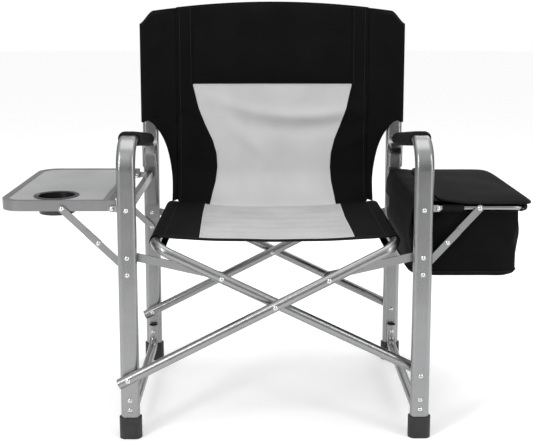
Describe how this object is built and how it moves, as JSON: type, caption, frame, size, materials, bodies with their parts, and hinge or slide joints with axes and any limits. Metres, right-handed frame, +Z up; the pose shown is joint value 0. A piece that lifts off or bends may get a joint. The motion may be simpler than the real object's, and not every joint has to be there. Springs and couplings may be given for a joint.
{
  "type": "folding camp chair",
  "caption": "Folding director's style camp chair: riveted oval tube frame, crossed tubes, cloth seat and back, folding side table with cup holder, and a cooler bag on a folding rod.",
  "frame": {"origin": "middle of the open chair's bounding box, on the floor", "axes": "+Z up, -Y the way the sitter faces, +X to the viewer's right, towards the cooler bag"},
  "size_m": [1.1166, 0.564, 0.9009],
  "materials": {
    "tube_silver": "satin silver coated tube",
    "bar_silver": "satin flat bar",
    "rivet_silver": "bright rivet heads",
    "foot_black": "moulded black foot caps",
    "spacer_black": "moulded spacers and plugs",
    "arm_foam": "black foam arm sleeve",
    "cloth_black": "black woven polyester",
    "mesh_grey": "light grey mesh cloth",
    "table_panel_silver": "brushed sheet",
    "table_rim_silver": "satin extruded rim",
    "cup_black": "moulded cup holder",
    "zip_black": "zip puller"
  },
  "bodies": {
    "left_frame": {"left_leg_and_arm": "tube_silver", "left_rear_upright": "tube_silver", "left_runner": "tube_silver", "left_side_rail": "tube_silver", "left_front_boot": "foot_black", "left_rear_boot": "foot_black", "left_arm_pad": "arm_foam", "left_rear_plate": "bar_silver", "left_upright_cap": "spacer_black", "left_frame_rivets": "rivet_silver", "left_frame_spacers": "spacer_black", "back_sleeve_left": "cloth_black", "back_panel": "cloth_black"},
    "right_frame": {"right_leg_and_arm": "tube_silver", "right_rear_upright": "tube_silver", "right_runner": "tube_silver", "right_side_rail": "tube_silver", "right_front_boot": "foot_black", "right_rear_boot": "foot_black", "right_arm_pad": "arm_foam", "right_rear_plate": "bar_silver", "right_upright_cap": "spacer_black", "right_frame_rivets": "rivet_silver", "right_frame_spacers": "spacer_black", "back_sleeve_right": "cloth_black", "bag_body": "cloth_black", "bag_rail_sleeve": "cloth_black"},
    "cross_tube_a": {"cross_tube_a": "tube_silver", "cross_tube_a_rivets": "rivet_silver", "cross_tube_a_spacers": "spacer_black", "seat_sleeve_a": "cloth_black", "seat_panel": "mesh_grey"},
    "cross_tube_b": {"cross_tube_b": "tube_silver", "cross_tube_b_rivets": "rivet_silver", "cross_tube_b_spacers": "spacer_black", "seat_sleeve_b": "cloth_black"},
    "left_links": {"left_front_link": "bar_silver", "left_rear_link": "bar_silver"},
    "right_links": {"right_front_link": "bar_silver", "right_rear_link": "bar_silver"},
    "side_table": {"table_rim_frame": "table_rim_silver", "table_inner_bar": "table_rim_silver", "table_panel": "table_panel_silver", "cup_holder": "cup_black", "table_rivets": "rivet_silver"},
    "table_lower_braces": {"table_front_brace_lower": "bar_silver", "table_rear_brace_lower": "bar_silver", "table_elbow_rivets": "rivet_silver"},
    "table_upper_braces": {"table_front_brace_upper": "bar_silver", "table_rear_brace_upper": "bar_silver"},
    "bag_holder": {"bag_holder_rod": "tube_silver", "bag_holder_rivets": "rivet_silver"},
    "bag_lower_braces": {"bag_front_brace_lower": "bar_silver", "bag_rear_brace_lower": "bar_silver", "bag_elbow_rivets": "rivet_silver"},
    "bag_upper_braces": {"bag_front_brace_upper": "bar_silver", "bag_rear_brace_upper": "bar_silver"},
    "bag_lid": {"bag_lid": "cloth_black", "zip_puller": "zip_black"}
  },
  "joints": [
    {"name": "frame_fold", "type": "hinge", "parent": "left_frame", "child": "cross_tube_a", "pos_m": [-0.28825, -0.22754, 0.134], "axis": [0, -1, 0], "range_deg": [0, 43.41], "deforming": ["seat_panel", "back_panel"]},
    {"name": "cross_b_turn", "type": "hinge", "parent": "cross_tube_a", "child": "cross_tube_b", "pos_m": [0.01975, -0.22754, 0.286], "axis": [0, 1, 0], "range_deg": [-0.5, 87.32]},
    {"name": "right_frame_turn", "type": "hinge", "parent": "cross_tube_b", "child": "right_frame", "pos_m": [0.32775, -0.22754, 0.134], "axis": [0, -1, 0], "range_deg": [-0.5, 43.91]},
    {"name": "left_links_turn", "type": "hinge", "parent": "left_frame", "child": "left_links", "pos_m": [-0.28825, -0.22754, 0.387], "axis": [0, -1, 0], "range_deg": [-0.5, 81.47]},
    {"name": "right_links_turn", "type": "hinge", "parent": "right_frame", "child": "right_links", "pos_m": [0.32775, -0.22754, 0.387], "axis": [0, 1, 0], "range_deg": [-0.5, 81.47]},
    {"name": "table_fold", "type": "hinge", "parent": "left_frame", "child": "side_table", "pos_m": [-0.32025, -0.22754, 0.4865], "axis": [0, -1, 0], "range_deg": [0, 90]},
    {"name": "table_lower_turn", "type": "hinge", "parent": "left_frame", "child": "table_lower_braces", "pos_m": [-0.28825, -0.22754, 0.3515], "axis": [0, -1, 0], "range_deg": [-0.5, 101.6]},
    {"name": "table_upper_turn", "type": "hinge", "parent": "side_table", "child": "table_upper_braces", "pos_m": [-0.42525, -0.22754, 0.4865], "axis": [0, 1, 0], "range_deg": [-0.5, 144.97]},
    {"name": "bag_fold", "type": "hinge", "parent": "right_frame", "child": "bag_holder", "pos_m": [0.35975, -0.22754, 0.4865], "axis": [0, 1, 0], "range_deg": [0, 90], "deforming": ["bag_body"]},
    {"name": "bag_lower_turn", "type": "hinge", "parent": "right_frame", "child": "bag_lower_braces", "pos_m": [0.32775, -0.22754, 0.3515], "axis": [0, 1, 0], "range_deg": [-0.5, 80.3]},
    {"name": "bag_upper_turn", "type": "hinge", "parent": "bag_holder", "child": "bag_upper_braces", "pos_m": [0.44735, -0.22754, 0.4865], "axis": [0, -1, 0], "range_deg": [-0.5, 155.05]},
    {"name": "lid_open", "type": "hinge", "parent": "bag_holder", "child": "bag_lid", "pos_m": [0.36375, -0.22754, 0.5075], "axis": [0, -1, 0], "range_deg": [0, 85]}
  ],
  "couplings": [
    {"joint": "cross_b_turn", "follows": "frame_fold", "ratio": 2},
    {"joint": "right_frame_turn", "follows": "frame_fold", "ratio": 1},
    {"joint": "left_links_turn", "follows": "frame_fold", "ratio": 1.8651},
    {"joint": "right_links_turn", "follows": "frame_fold", "ratio": 1.8651},
    {"joint": "table_lower_turn", "follows": "table_fold", "ratio": 1.1233},
    {"joint": "table_upper_turn", "follows": "table_fold", "ratio": 1.6052},
    {"joint": "bag_lower_turn", "follows": "bag_fold", "ratio": 0.8867},
    {"joint": "bag_upper_turn", "follows": "bag_fold", "ratio": 1.7172}
  ]
}
